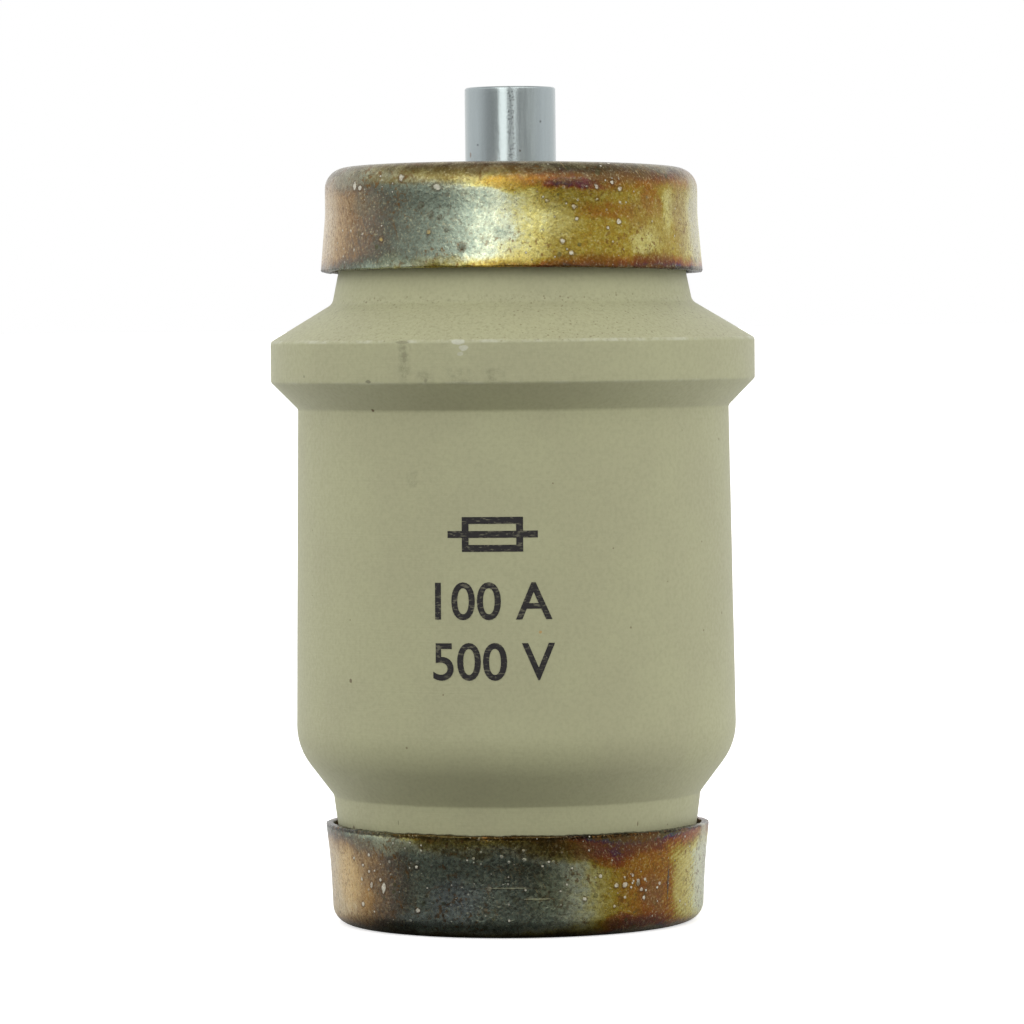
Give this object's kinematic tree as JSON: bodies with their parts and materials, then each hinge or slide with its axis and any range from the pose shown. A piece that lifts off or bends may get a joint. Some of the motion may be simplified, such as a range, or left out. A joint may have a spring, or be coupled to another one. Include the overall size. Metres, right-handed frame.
{
  "type": "bottle fuse-link",
  "caption": "Ceramic bottle fuse-link with a collared body, pressed metal end caps, a riveted contact pin at the foot and a sprung blown-fuse indicator in the head.",
  "frame": {"origin": "centre of the flat face of the head cap, on the axis", "axes": "+Z along the axis from the head cap to the tip of the contact pin; +X towards the right of the printed face and -Y out of it"},
  "size_m": [0.0332, 0.0332, 0.057],
  "materials": {
    "steatite": "matte unglazed grey-green steatite",
    "marking_ink": "flat black pad-printed ink",
    "tarnished_plate": "plated drawn sheet with yellow to purple tarnish",
    "bright_steel": "zinc-plated, smooth",
    "brass_disc": "plain rolled brass",
    "fibre": "matte pressed fibre",
    "strip_copper": "plain rolled copper",
    "solder": "dull grey solder",
    "resistance_wire": "drawn resistance wire",
    "spring_steel": "drawn spring wire",
    "indicator_red": "satin red paint",
    "quartz_sand": "dry packed quartz grains"
  },
  "bodies": {
    "fuse": {"ceramic_body": "steatite", "head_cap": "tarnished_plate", "foot_cap": "tarnished_plate", "contact_pin": "bright_steel", "pin_washer": "bright_steel", "head_contact_disc": "brass_disc", "foot_contact_disc": "brass_disc", "head_sealing_disc": "fibre", "foot_sealing_disc": "fibre", "fuse_strip_1": "strip_copper", "fuse_strip_2": "strip_copper", "fuse_strip_3": "strip_copper", "fuse_strip_4": "strip_copper", "overload_solder_spot_1": "solder", "overload_solder_spot_2": "solder", "overload_solder_spot_3": "solder", "overload_solder_spot_4": "solder", "head_solder_joints": "solder", "foot_solder_joints": "solder", "indicator_wire": "resistance_wire", "wire_solder_joint": "solder", "indicator_guide_cup": "brass_disc", "indicator_spring": "spring_steel", "quartz_sand": "quartz_sand"},
    "indicator": {"indicator_button": "indicator_red", "indicator_wire_end": "resistance_wire"}
  },
  "joints": [
    {"name": "indicator_pop_out", "type": "slide", "parent": "fuse", "child": "indicator", "axis": [0, 0, -1], "range_m": [0, 0.0025], "deforming": ["indicator_spring"]}
  ]
}
